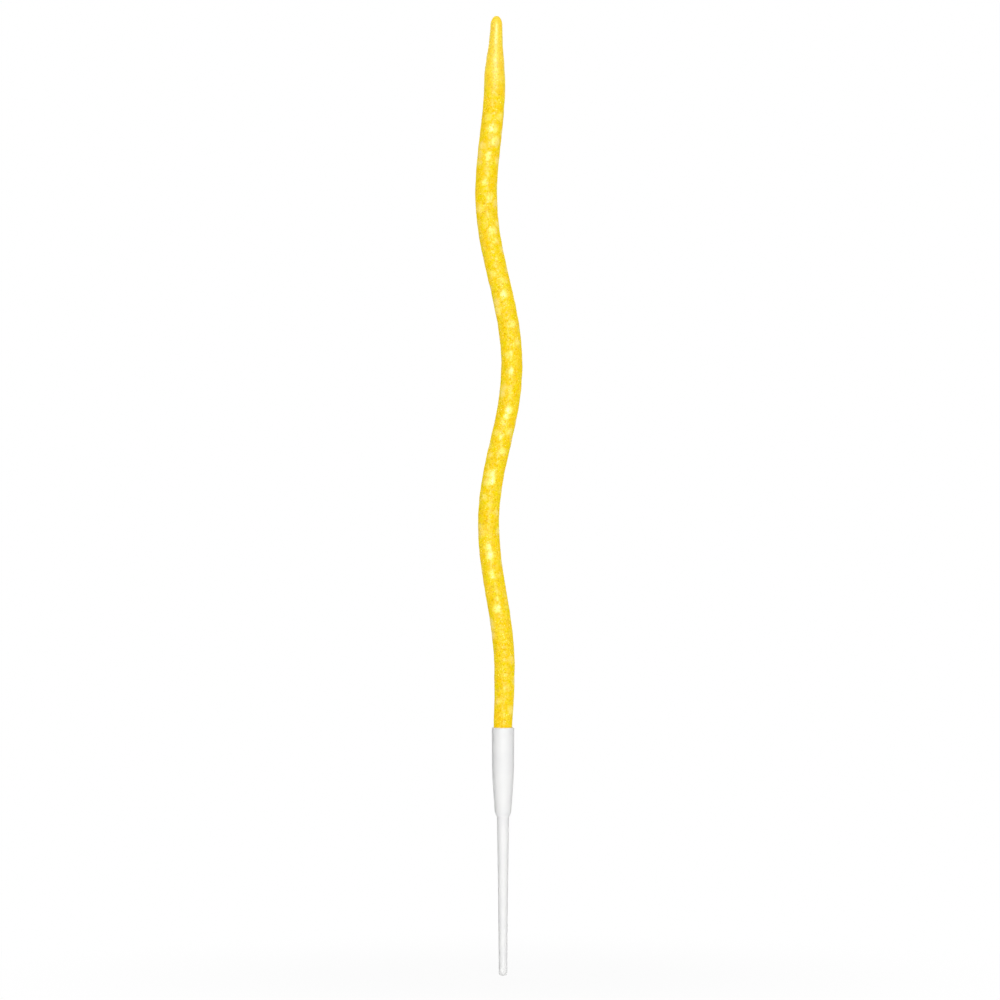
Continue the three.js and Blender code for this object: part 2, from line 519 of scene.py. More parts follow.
@dataclass(frozen=True)
class HighlightPools:
    """Round pools of clear lacquer, where the coat is glossier and a pale highlight is painted
    into the colour.

    Attributes:
        spacing: How far apart they are.
        radius: How far a pool reaches from its middle.
        core: The share of that radius within which it is full.
        ragged: The noises that shift its edge, and the weight of each.
    """

    spacing: float = 2.6 * MM
    radius: float = 1.2 * MM
    core: float = 0.2
    ragged: tuple[tuple[Patches, float], ...] = (
        (Patches(0.6 * MM, 2), 0.4),
        (Patches(4 * MM, 1), 0.5),
    )

    def on(self, bench: MaterialBench) -> Signal:
        """Works out where the pools lie.

        Args:
            bench: The material's bench.

        Returns:
            1 in a pool's middle, down to 0 outside it.
        """
        away = bench.cells(self.spacing)
        for patches, weight in self.ragged:
            away = away + (patches.noise(bench) - MIDDLE) * weight
        edge = self.radius / self.spacing
        return 1 - away.rise(self.core * edge, edge)


@dataclass(frozen=True)
class GlitterLacquer:
    """The dip coat: golden yellow lacquer over fine glitter, with pale highlights painted into
    pools of it.

    Attributes:
        deep: Its deepest gold.
        lemon: Its greener yellow.
        pale: Its colour where it lies thinnest over the wax.
        shade: The colour of its darkest flakes.
        pearl: The pale colour of the highlight painted into its pools.
        grain: How far apart the fine flakes are.
        bright_lots: The lots, from 0 to 1, between which a fine flake turns bright.
        dark_lots: The lots between which it turns dark.
        bright_share: How far a bright flake goes to the pale colour.
        thin_share: How far a thin place goes to it.
        dark_share: How far a dark flake goes to the shade.
        pool_share: How far a pool's colour goes to that painted highlight.
        hues: The changes of hue.
        thins: The places where it lies thin.
        lumps: The lumps of the dip.
        lump_depth: How deep the shader's lumps are.
        tilt: How far a flake's normal leans, as a share of the normal.
        foil: How metallic the fine flakes make it.
        pools: The round pools of glossier clear lacquer, with a pale highlight painted in.
        pool_polish: How much smoother a pool is.
        haze: The fainter pearly patches.
        haze_gloss: The weight of the clear coat on the haze.
        haze_loss: How much of that weight is lost on the tip.
        tip_gloss: The weight of the clear coat on the tip.
        pool_gloss: The weight of the clear coat on a pool.
    """

    deep: Colour = srgb(229, 202, 1)
    lemon: Colour = srgb(225, 209, 2)
    pale: Colour = srgb(234, 219, 92)
    shade: Colour = srgb(204, 168, 6)
    pearl: Colour = srgb(233, 216, 124)
    grain: float = 0.22 * MM
    bright_lots: Span = (0.55, 1.0)
    dark_lots: Span = (0.8, 0.95)
    bright_share: float = 0.3
    thin_share: float = 0.25
    dark_share: float = 0.5
    pool_share: float = 0.45
    hues: Patches = Patches(1.6 * MM, 3, 0.36, 0.66)
    thins: Patches = Patches(1.28 * MM, 2, 0.52, 0.75)
    lumps: Patches = Patches(2.4 * MM, 0.6)
    lump_depth: float = 0.25 * MM
    tilt: float = 0.12
    foil: float = 0.65
    pools: HighlightPools = HighlightPools()
    pool_polish: float = 0.15
    haze: Patches = Patches(0.65 * MM, 2, 0.35, 0.7)
    haze_gloss: float = 0.4
    haze_loss: float = 0.05
    tip_gloss: float = 0.7
    pool_gloss: float = 0.85

    def material(self) -> bpy.types.Material:
        """Makes the material, which reads where the coat is lumpy and where the tip is.

        Returns:
            The material.
        """
        bench = MaterialBench("glitter_lacquer")
        lot = bench.cells(self.grain).other("Color")
        parts = bench.add("ShaderNodeSeparateColor", Color=lot)
        bright = parts.rise(*self.bright_lots)
        dark = parts.other("Green").rise(*self.dark_lots)
        ground = bench.mixed(self.hues.on(bench), self.deep, self.lemon)
        paler = bright * self.bright_share + self.thins.on(bench) * self.thin_share
        grainy = bench.mixed(
            dark * self.dark_share, bench.mixed(paler, ground, self.pale), self.shade
        )
        wavy = bench.bump(self.lumps.noise(bench) * bench.attribute("dipped"), self.lump_depth)
        lean = bench.vector_maths("SUBTRACT", lot, (MIDDLE,) * 3)
        leaning = bench.vector_maths("ADD", wavy, bench.scaled(lean, self.tilt))
        sheen = bench.attribute("sheen")
        gleam = self.pools.on(bench) * (1 - sheen)
        hazy = self.haze.on(bench) * (self.haze_gloss - sheen * self.haze_loss)
        return bench.finish(
            # Painted highlight: the pools' colour goes pale over the grainy gold; their extra coat
            # gloss is real.
            Base_Color=bench.mixed(gleam * self.pool_share, grainy, self.pearl),
            Metallic=self.foil,
            Roughness=1 - gleam * self.pool_polish,
            IOR=1.45,
            Specular_IOR_Level=0.1,
            Specular_Tint=(0.8, 0.6, 0.1, 1),
            Normal=bench.vector_maths("NORMALIZE", leaning),
            Coat_Weight=hazy + sheen * self.tip_gloss + gleam * self.pool_gloss,
            Coat_Roughness=0.5,
            Coat_IOR=1.7,
        )


class FlakeKind(Enum):
    """The glitter's three colours of film."""

    GOLD = "gold"
    LEMON = "lemon"
    AMBER = "amber"


@dataclass(frozen=True)
class FlakeFilm:
    """Metallised film that the larger flakes are punched from.

    Attributes:
        kind: Which film.
        dim: Its colour on the dimmest flakes.
        bright: Its colour on the brightest.
        count: How many flakes of it lie on a square metre.
        seed: The seed of where they lie.
        tones: The tones, from 0 to 1, of the dimmest flakes and of the brightest.
        clouds: The clouds in it.
        dullness: How rough it is between them.
        cloudiness: How much rougher a cloud is.
    """

    kind: FlakeKind
    dim: Colour
    bright: Colour
    count: float
    seed: int
    tones: Span = (0.1, 0.9)
    clouds: Patches = Patches(0.06 * MM, 1)
    dullness: float = 0.88
    cloudiness: float = 0.1

    def material(self) -> bpy.types.Material:
        """Makes the material, which reads each flake's own tone.

        Returns:
            The material.
        """
        bench = MaterialBench(f"{self.kind.value}_film")
        tone = bench.attribute("tone").rise(*self.tones)
        return bench.finish(
            Base_Color=bench.mixed(tone, self.dim, self.bright),
            Metallic=0.6,
            Roughness=self.dullness + self.clouds.noise(bench) * self.cloudiness,
            IOR=1.4,
            Specular_IOR_Level=0.2,
        )


@dataclass(frozen=True)
class Wax:
    """The candle's body: yellow paraffin, a little mottled where it cooled."""

    clear: Colour = srgb(246, 218, 110)
    cloudy: Colour = srgb(250, 232, 150)
    mottle: Patches = Patches(2.4 * MM, 3, 0.35, 0.7)
    skin: Patches = Patches(0.3 * MM, 2)
    skin_depth: float = 0.01 * MM
    satin: float = 0.38
    dullness: float = 0.2

    def material(self) -> bpy.types.Material:
        """Makes the material.

        Returns:
            The material.
        """
        bench = MaterialBench("yellow_wax")
        skin = self.skin.noise(bench)
        return bench.finish(
            Base_Color=bench.mixed(self.mottle.on(bench), self.clear, self.cloudy),
            Roughness=self.satin + skin * self.dullness,
            Normal=bench.bump(skin, self.skin_depth),
            Subsurface_Weight=0.25,
            Subsurface_Scale=0.8 * MM,
        )


@dataclass(frozen=True)
class WaxedCotton:
    """The wick's yarn: undyed cotton, soaked with wax."""

    yarn: Colour = srgb(238, 230, 206)
    # hollow: painted shade between the fibres, darker where the fibre bump is low.
    hollow: Colour = srgb(205, 190, 150)
    fibres: Patches = Patches(0.05 * MM, 3, 0.3, 0.7)
    fibre_depth: float = 0.02 * MM
    stretch: tuple[float, float, float] = (1, 1, 0.15)
    fuzz: float = 0.9
    polish: float = 0.15

    def material(self) -> bpy.types.Material:
        """Makes the material, whose fibres run along the wick.

        Returns:
            The material.
        """
        bench = MaterialBench("waxed_cotton")
        point = {"vector_type": "POINT"}
        bench.where = bench.add("ShaderNodeMapping", point, bench.where, Scale=self.stretch)
        fibres = self.fibres.noise(bench)
        return bench.finish(
            # Painted shade: the colour darkens to the hollow tone where the fibres' bump height is
            # low.
            Base_Color=bench.mixed(self.fibres.among(fibres), self.hollow, self.yarn),
            Roughness=self.fuzz - fibres * self.polish,
            Normal=bench.bump(fibres, self.fibre_depth),
        )


@dataclass(frozen=True)
class MouldedWhite:
    """The holder's plastic: glossy white, with the faint waviness of a thin moulding."""

    white: Colour = srgb(247, 247, 246)
    cool: Colour = srgb(244, 244, 244)
    sink: Patches = Patches(5 * MM, 2, 0.35, 0.65)
    sink_depth: float = 0.03 * MM
    polish: Patches = Patches(0.12 * MM, 3)
    polish_depth: float = 0.001 * MM
    gloss: float = 0.42
    dullness: float = 0.12

    def material(self) -> bpy.types.Material:
        """Makes the material.

        Returns:
            The material.
        """
        bench = MaterialBench("moulded_white")
        sink = self.sink.noise(bench)
        polish = self.polish.noise(bench)
        waves = bench.bump(sink, self.sink_depth)
        return bench.finish(
            Base_Color=bench.mixed(self.sink.among(sink), self.white, self.cool),
            Roughness=self.gloss + polish * self.dullness,
            Specular_IOR_Level=0.12,
            Normal=bench.bump(polish, self.polish_depth, waves),
        )


# The holder


@dataclass
class Holder:
    """The white moulding: a spike for the cake, under a cup that grips the candle."""

    spike_length: float = 31.6 * MM
    spike_root_radius: float = 1.21 * MM
    spike_end_radius: float = 0.84 * MM
    spike_end_round: float = 0.6 * MM
    spike_flare: float = 1.5
    spike_steps: int = 40
    root_fillet: float = 0.1 * MM
    cup_height: float = 17.5 * MM
    cup_steps: int = 60
    rim_radius: float = 2.22 * MM
    cup_draft: float = math.radians(0.3)
    straight_depth: float = 9 * MM
    taper_blend: float = 2 * MM
    bevel_width: float = 0.33 * MM
    bevel_height: float = 0.8 * MM
    bevel_steps: int = 4
    rim_round: float = 0.2 * MM
    round_steps: int = 8
    fillet_steps: int = 5
    socket_wall: float = 0.34 * MM
    socket_draft: float = math.radians(0.5)
    lead_in: float = 0.1 * MM
    floor_thickness: float = 2.9 * MM
    core_steps: int = 10
    rib_count: int = 4
    rib_height: float = 5.6 * MM
    rib_thickness: float = 0.5 * MM
    rib_channel: float = 1.5 * MM
    rib_hold: float = 1 / 3
    sides: int = 96
    sharp_edge: float = 38
    finish: MouldedWhite = field(default_factory=MouldedWhite)

    @property
    def seat_depth(self) -> float:
        """How far below the rim the candle stands on the ribs."""
        return self.cup_height - self.floor_thickness - self.rib_height

    @property
    def bevel_foot(self) -> float:
        """The radius where the cup's slanting underside starts."""
        return self.spike_root_radius + self.root_fillet

    def straight(self, depth: float) -> float:
        """The cup's outer radius along its straight upper part."""
        return self.rim_radius - depth * math.tan(self.cup_draft)

    def cup(self, depth: float) -> float:
        """Works out the cup's outside, above its bevel.

        Args:
            depth: How far below the rim.

        Returns:
            The outer radius there.
        """
        base = self.bevel_foot + self.bevel_width
        run = self.cup_height - self.bevel_height - self.straight_depth
        slope = (self.straight(self.straight_depth) - base) / run
        past = depth - self.straight_depth
        if past <= -self.taper_blend:
            return self.straight(depth)
        if past >= self.taper_blend:
            return self.straight(self.straight_depth) - past * slope
        share = (past + self.taper_blend) / (2 * self.taper_blend)
        drop = slope - math.tan(self.cup_draft)
        return self.straight(depth) - drop * self.taper_blend * share * share

    def socket(self, depth: float) -> float:
        """The socket's radius at a depth below the rim."""
        return self.rim_radius - self.socket_wall - depth * math.tan(self.socket_draft)

    def core(self, depth: float) -> float:
        """The radius of the cored hollow below the seat, whose wall stays even."""
        wall = self.cup(self.seat_depth) - self.socket(self.seat_depth)
        return self.cup(depth) - wall

    def spike_outline(self) -> Outline:
        """Sets out the spike.

        Returns:
            Its points, from its blunt end up to the fillet at its root.
        """
        foot = -self.spike_length + self.spike_end_round
        rise = -self.root_fillet - foot
        swell = self.spike_root_radius - self.spike_end_radius
        end = (self.spike_end_radius - self.spike_end_round, foot)
        root = (self.spike_root_radius + self.root_fillet, -self.root_fillet)
        flank = [i / self.spike_steps for i in range(1, self.spike_steps)]
        return [
            (0.0, -self.spike_length),
            *arc(end, self.spike_end_round, -90, 0, self.round_steps),
            *(
                (self.spike_end_radius + swell * share**self.spike_flare, foot + rise * share)
                for share in flank
            ),
            *arc(root, self.root_fillet, 180, 90, self.fillet_steps),
        ]

    def cup_outline(self) -> Outline:
        """Sets out the cup's outside.

        Returns:
            Its points, from the foot of its bevel up to its rim.
        """
        bevel = [i / self.bevel_steps for i in range(1, self.bevel_steps)]
        span = self.cup_height - self.bevel_height - self.rim_round
        heights = [self.bevel_height + span * i / self.cup_steps for i in range(self.cup_steps)]
        rim = (self.straight(self.rim_round) - self.rim_round, self.cup_height - self.rim_round)
        return [
            *((self.bevel_foot + self.bevel_width * s, self.bevel_height * s) for s in bevel),
            *((self.cup(self.cup_height - height), height) for height in heights),
            *arc(rim, self.rim_round, 0, 90, self.round_steps),
        ]

    def socket_outline(self) -> Outline:
        """Sets out the socket.

        Returns:
            Its points, from the mouth down to the floor's middle.
        """
        core = [i / self.core_steps for i in range(1, self.core_steps + 1)]
        depths = [self.seat_depth + self.rib_height * share for share in core]
        mouth = self.socket(self.lead_in)
        wall = [
            (mouth + self.lead_in, 0.0),
            (mouth, self.lead_in),
            (self.socket(self.seat_depth), self.seat_depth),
            *((self.core(depth), depth) for depth in depths),
            (0.0, self.cup_height - self.floor_thickness),
        ]
        return [(radius, self.cup_height - depth) for radius, depth in wall]

    def rib(self, turn: float) -> bpy.types.Object:
        """Makes one web that the candle stands on, let into the wall and the floor.

        Args:
            turn: Its place round the cup, as an angle.

        Returns:
            The web, to be joined on.
        """
        sunk = self.socket_wall * self.rib_hold
        low = self.floor_thickness - sunk
        high = self.floor_thickness + self.rib_height
        inner = self.rib_channel / 2
        corners = [
            (inner, low),
            (self.core(self.cup_height - low) + sunk, low),
            (self.socket(self.seat_depth) + sunk, high),
            (inner, high),
        ]
        half = self.rib_thickness / 2
        points = []
        for side in (-half, half):
            for radius, height in corners:
                x = radius * math.cos(turn) - side * math.sin(turn)
                y = radius * math.sin(turn) + side * math.cos(turn)
                points.append((x, y, height))
        walls = [(k, (k + 1) % 4, (k + 1) % 4 + 4, k + 4) for k in range(4)]
        return mesh_object("rib", np.array(points), [(3, 2, 1, 0), (4, 5, 6, 7), *walls])

    def build(self) -> bpy.types.Object:
        """Makes the holder, one moulding in place of its CAD node.

        Returns:
            The holder.
        """
        outline = self.spike_outline() + self.cup_outline() + self.socket_outline()
        form = Revolve(outline, self.sides)
        body = mesh_object("holder_moulding", form.points(), form.faces())
        ribs = [self.rib(2 * math.pi * (i + 0.5) / self.rib_count) for i in range(self.rib_count)]
        for rib in ribs:
            join = body.modifiers.new(rib.name, "BOOLEAN")
            join.operation = "UNION"
            join.solver = "EXACT"
            join.object = rib
        body.data = applied(body)
        discard(*ribs)
        smooth(body.data, self.sharp_edge)
        dress(body, self.finish.material())
        return stand_for(body, "holder", HOLDER_BODY)


# The candle


@dataclass(frozen=True)
class Turn:
    """A turn of the wave: its height above the last one, and its place across."""

    rise: float
    across: float


@dataclass
class Wave:
    """The wavy line that the straight candle is bent along.

    Attributes:
        foot: The height of the candle's foot.
        start: The height where the wave starts.
        turns: Its turns, from the rim up.
        samples: How many points its line has.
        line: The line's points, across and up, at even heights.
        along: Each point's length along the line.
        heading: The line's heading at each point.
    """

    foot: float
    start: float
    turns: tuple[Turn, ...] = (
        Turn(7 * MM, 0.28 * MM),
        Turn(4.1 * MM, 0.28 * MM),
        Turn(28.9 * MM, -2.86 * MM),
        Turn(31.3 * MM, 1.75 * MM),
        Turn(33.7 * MM, -3.33 * MM),
        Turn(22.6 * MM, -1.64 * MM),
        Turn(12.8 * MM, -1.29 * MM),
    )
    samples: int = 2400
    line: np.ndarray = field(init=False)
    along: np.ndarray = field(init=False)
    heading: np.ndarray = field(init=False)

    def __post_init__(self) -> None:
        """Works out the line, the length along it, and its heading."""
        stations = [Station(self.start, 0.0)]
        for turn in self.turns:
            stations.append(Station(stations[-1].place + turn.rise, turn.across))
        heights = np.linspace(self.foot, stations[-1].place, self.samples)
        across = np.array([between(stations, height) for height in heights])
        self.line = np.column_stack([across, heights])
        steps = np.linalg.norm(np.diff(self.line, axis=0), axis=1)
        self.along = np.concatenate([[0], np.cumsum(steps)])
        heading = np.gradient(self.line, self.along, axis=0)
        self.heading = heading / np.linalg.norm(heading, axis=1, keepdims=True)

    @property
    def length(self) -> float:
        """The candle's length along the wave."""
        return float(self.along[-1])

    def bend(self, points: np.ndarray) -> np.ndarray:
        """Bends a straight piece that stands on the foot.

        Args:
            points: Its vertices when it is straight, with the foot at height 0.

        Returns:
            Its vertices on the wave.
        """
        places = np.clip(points[:, 2], 0, self.length)
        centre = [np.interp(places, self.along, self.line[:, k]) for k in (0, 1)]
        heading = [np.interp(places, self.along, self.heading[:, k]) for k in (0, 1)]
        across = points[:, 0]
        return np.column_stack(
            [centre[0] + heading[1] * across, points[:, 1], centre[1] - heading[0] * across]
        )


@dataclass
class CandleShape:
    """The candle's outline when straight, and the wave that it is bent to."""

    holder: Holder
    fit_gap: float = 0.05 * MM
    stub_straight: float = 0.5 * MM
    coat_thickness: float = 0.25 * MM
    layer_gap: float = 0.05 * MM
    dome_length: float = 1.9 * MM
    dome_radius: float = 1.19 * MM
    tip_length: float = 3.75 * MM
    tip_radius: float = 1.37 * MM
    shoulder_length: float = 8 * MM
    shoulder_radius: float = 2.08 * MM
    swell_run: float = 13 * MM
    swell_radius: float = 2.18 * MM
    waist_run: float = 24.5 * MM
    waist_radius: float = 2.1 * MM
    neck_run: float = 21.4 * MM
    body_radius: float = 2.09 * MM
    wave: Wave = field(init=False)
    stations: list[Station] = field(init=False)

    def __post_init__(self) -> None:
        """Sets out the wave and the outline's stations."""
        rim = self.holder.cup_height
        self.wave = Wave(rim - self.holder.seat_depth + self.fit_gap, rim + self.stub_straight)
        shoulder = self.tip_base - self.shoulder_length
        swell = shoulder - self.swell_run
        self.stations = [
            Station(self.rim_place, self.holder.socket(0) - self.fit_gap),
            Station(self.rim_place + self.neck_run, self.body_radius, Form.CROWN),
            Station(swell - self.waist_run, self.waist_radius),
            Station(swell, self.swell_radius),
            Station(shoulder, self.shoulder_radius),
            Station(self.tip_base, self.tip_radius, Form.CROWN),
            Station(self.dome_base, self.dome_radius),
        ]

    @property
    def rim_place(self) -> float:
        """The rim's height above the candle's foot."""
        return self.holder.cup_height - self.wave.foot

    @property
    def dome_base(self) -> float:
        """Where the domed end starts, as a height above the foot."""
        return self.wave.length - self.dome_length

    @property
    def tip_base(self) -> float:
        """Where the narrow tip starts, as a height above the foot."""
        return self.dome_base - self.tip_length

    def radius(self, height: float) -> float:
        """The candle's radius at a height above its foot, below the dome."""
        in_socket = self.holder.socket(self.rim_place - height) - self.fit_gap
        return in_socket if height < self.rim_place else between(self.stations, height)

    def side(self, inset: float, pitch: float, dome_steps: int) -> Outline:
        """Sets out a layer's side, from the foot up over the dome.

        Args:
            inset: How far it lies below the candle's surface.
            pitch: The height of its steps.
            dome_steps: How many steps its dome has.

        Returns:
            Its points of radius and height, of which the last is on the axis.
        """
        heights = np.linspace(0, self.dome_base, round(self.dome_base / pitch) + 1)
        side = [(self.radius(height) - inset, height) for height in heights]
        for i in range(1, dome_steps + 1):
            angle = math.pi / 2 * i / dome_steps
            radius = (self.dome_radius - inset) * math.cos(angle) if i < dome_steps else 0.0
            rise = (self.dome_length - inset) * math.sin(angle)
            side.append((radius, self.dome_base + rise))
        return side


@dataclass
class GlitterCoat:
    """The sparkling dip coat: a lumpy lacquered sleeve, and the flakes that stand out of it.

    Attributes:
        lump_span: The noise where a hollow is deepest, and where a lump is highest.
        detail: How many finer layers its lumps and ripples have.
        proud: How far the highest lumps stand out of the CAD coat.
        rim_fade: The length above the rim over which lumps and ripples set in.
        tip_fade: The length below the tip over which they die down.
        tip_dip: The share of them that is left on the tip.
        sheen_length: The length below the top that has the tip's gloss.
        sheen_fade: The length below that over which the gloss goes.
        bare_length: The length above the rim over which the flakes set in.
        bare_share: The share of them that lies below it.
        flake_scale: The least and the greatest flake, over their size.
    """

    shape: CandleShape
    sides: int = 64
    pitch: float = 0.25 * MM
    inner_pitch: float = 1 * MM
    dome_steps: int = 12
    lump_size: float = 2.4 * MM
    lump_depth: float = 0.08 * MM
    lump_span: Span = (0.22, 0.78)
    ripple_size: float = 0.9 * MM
    ripple_depth: float = 0.02 * MM
    detail: float = 0.6
    proud: float = 0.04 * MM
    rim_fade: float = 6 * MM
    tip_fade: float = 4 * MM
    tip_dip: float = 0.12
    sheen_length: float = 8.8 * MM
    sheen_fade: float = 8 * MM
    bare_length: float = 1 * MM
    bare_share: float = 0.25
    flake_corners: int = 6
    flake_size: float = 0.2 * MM
    flake_thickness: float = 0.02 * MM
    flake_scale: Span = (0.65, 1.15)
    flake_tilt: float = math.radians(8)
    flake_lift: float = -0.004 * MM
    sharp_edge: float = 60
    finish: GlitterLacquer = field(default_factory=GlitterLacquer)
    films: tuple[FlakeFilm, ...] = (
        FlakeFilm(FlakeKind.GOLD, srgb(232, 198, 20), srgb(240, 214, 70), 2.2e6, 11),
        FlakeFilm(FlakeKind.LEMON, srgb(236, 216, 60), srgb(244, 230, 130), 1.2e6, 23),
        FlakeFilm(FlakeKind.AMBER, srgb(214, 186, 36), srgb(234, 204, 60), 1.1e6, 37),
    )

    def sleeve(self) -> bpy.types.Object:
        """Makes the coat before its lumps, and marks what each point of it takes.

        Returns:
            A closed shell, which has its dip, its glitter and its sheen as attributes.
        """
        shape = self.shape
        outer = shape.side(0, self.pitch, self.dome_steps)
        inner = shape.side(shape.coat_thickness, self.inner_pitch, self.dome_steps)
        form = Revolve([*reversed(inner), *outer], self.sides)
        straight = form.points()
        sleeve = mesh_object("sparkling_coat", shape.wave.bend(straight), form.faces())
        outside = np.zeros(len(straight))
        outside[(len(inner) - 1) * self.sides : -2] = 1
        outside[-1] = 1
        heights = straight[:, 2]
        above_rim = heights - shape.rim_place
        below_tip = ramp(shape.tip_base - heights, self.tip_fade)
        below_sheen = ramp(shape.wave.length - heights - self.sheen_length, self.sheen_fade)
        dips = self.tip_dip + (1 - self.tip_dip) * below_tip
        marks = {
            "dipped": ramp(above_rim, self.rim_fade) * dips,
            "glitter": np.maximum(ramp(above_rim, self.bare_length), self.bare_share),
            "sheen": 1 - below_sheen,
        }
        for name, values in marks.items():
            mark = sleeve.data.attributes.new(name, "FLOAT", "POINT")
            mark.data.foreach_set("value", (outside * values).astype(np.float32))
        return sleeve

    def dip(self) -> GrowthBench:
        """Builds the tree that gives the sleeve its lumps and ripples.

        Returns:
            The tree's bench.
        """
        bench = GrowthBench(
            "dip_lumps", ("Lump size", "Lump depth", "Ripple size", "Ripple depth", "Proud")
        )
        where = bench.add("GeometryNodeInputPosition")
        lumps, ripples = (
            bench.noise(where, bench[size], self.detail)
            for size in ("Lump size", "Ripple size")
        )
        sunk = (1 - lumps.rise(*self.lump_span)) * bench["Lump depth"]
        rise = bench["Proud"] - sunk + (ripples - MIDDLE) * bench["Ripple depth"]
        out = bench.scaled(bench.add("GeometryNodeInputNormal"), rise * bench.attribute("dipped"))
        bench.end(bench.add("GeometryNodeSetPosition", Geometry=bench.geometry, Offset=out))
        return bench

    def scatter(self) -> GrowthBench:
        """Builds the tree that lays flakes on the coat.

        Returns:
            The tree's bench.
        """
        bench = GrowthBench(
            "glitter_flakes",
            ("Count", "Flake size", "Flake thickness", "Flake tilt", "Flake lift"),
            ("Seed",),
        )
        laid = bench.add(
            "GeometryNodeDistributePointsOnFaces",
            {"distribute_method": "RANDOM"},
            Mesh=bench.geometry,
            Density=bench["Count"] * bench.attribute("glitter"),
            Seed=bench["Seed"],
        )
        flake = bench.add(
            "GeometryNodeMeshCylinder",
            {"fill_type": "NGON"},
            Vertices=self.flake_corners,
            Radius=bench["Flake size"] / 2,
            Depth=bench["Flake thickness"],
        )
        x, y = (bench.random(-1.0, 1.0, offset) * bench["Flake tilt"] for offset in (1, 2))
        lean = bench.add("ShaderNodeCombineXYZ", X=x, Y=y, Z=bench.random(0.0, 2 * math.pi, 3))
        turned = bench.add(
            "FunctionNodeRotateRotation",
            {"rotation_space": "LOCAL"},
            Rotation=laid.other("Rotation"),
            Rotate_By=bench.add("FunctionNodeEulerToRotation", Euler=lean),
        )
        flakes = bench.add(
            "GeometryNodeInstanceOnPoints",
            Points=laid,
            Instance=flake,
            Rotation=turned,
            Scale=bench.random(*self.flake_scale, 4),
        )
        lifted = bench.add(
            "GeometryNodeTranslateInstances",
            Instances=flakes,
            Translation=bench.add("ShaderNodeCombineXYZ", Z=bench["Flake lift"]),
            Local_Space=True,
        )
        toned = bench.add(
            "GeometryNodeStoreNamedAttribute",
            {"data_type": "FLOAT", "domain": "INSTANCE"},
            Geometry=lifted,
            Name="tone",
            Value=bench.random(0.0, 1.0, 5),
        )
        bench.end(toned)
        return bench

    def build(self) -> list[bpy.types.Object]:
        """Makes the coat and its flakes, in place of the coat's CAD node.

        Returns:
            The coat, and the flakes of each film.
        """
        coat = self.sleeve()
        coat.data = self.dip().grow(coat, self, material=self.finish.material())
        smooth(coat.data, self.sharp_edge)
        scatter = self.scatter()
        made = [coat]
        for film in self.films:
            film_inputs = {"count": film.count, "seed": film.seed, "material": film.material()}
            flakes = scatter.grow(coat, self, **film_inputs)
            made.append(new_object(f"{film.kind.value}_glitter", flakes))
        for piece in made:
            stand_for(piece, "glitter_coat", CANDLE_BODY)
        return made


@dataclass
class WaxCore:
    """The candle's body under its coat, which keeps its CAD form."""

    finish: Wax = field(default_factory=Wax)

    def build(self) -> bpy.types.Object:
        """Dresses the CAD node.

        Returns:
            The node's object.
        """
        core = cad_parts["wax_core"]
        dress(core, self.finish.material())
        LOG.info("wax_core: dressed as it is")
        return core


class Lay(Enum):
    """Which way round a braid's strand goes."""

    CLOCKWISE = 1
    ANTICLOCKWISE = -1


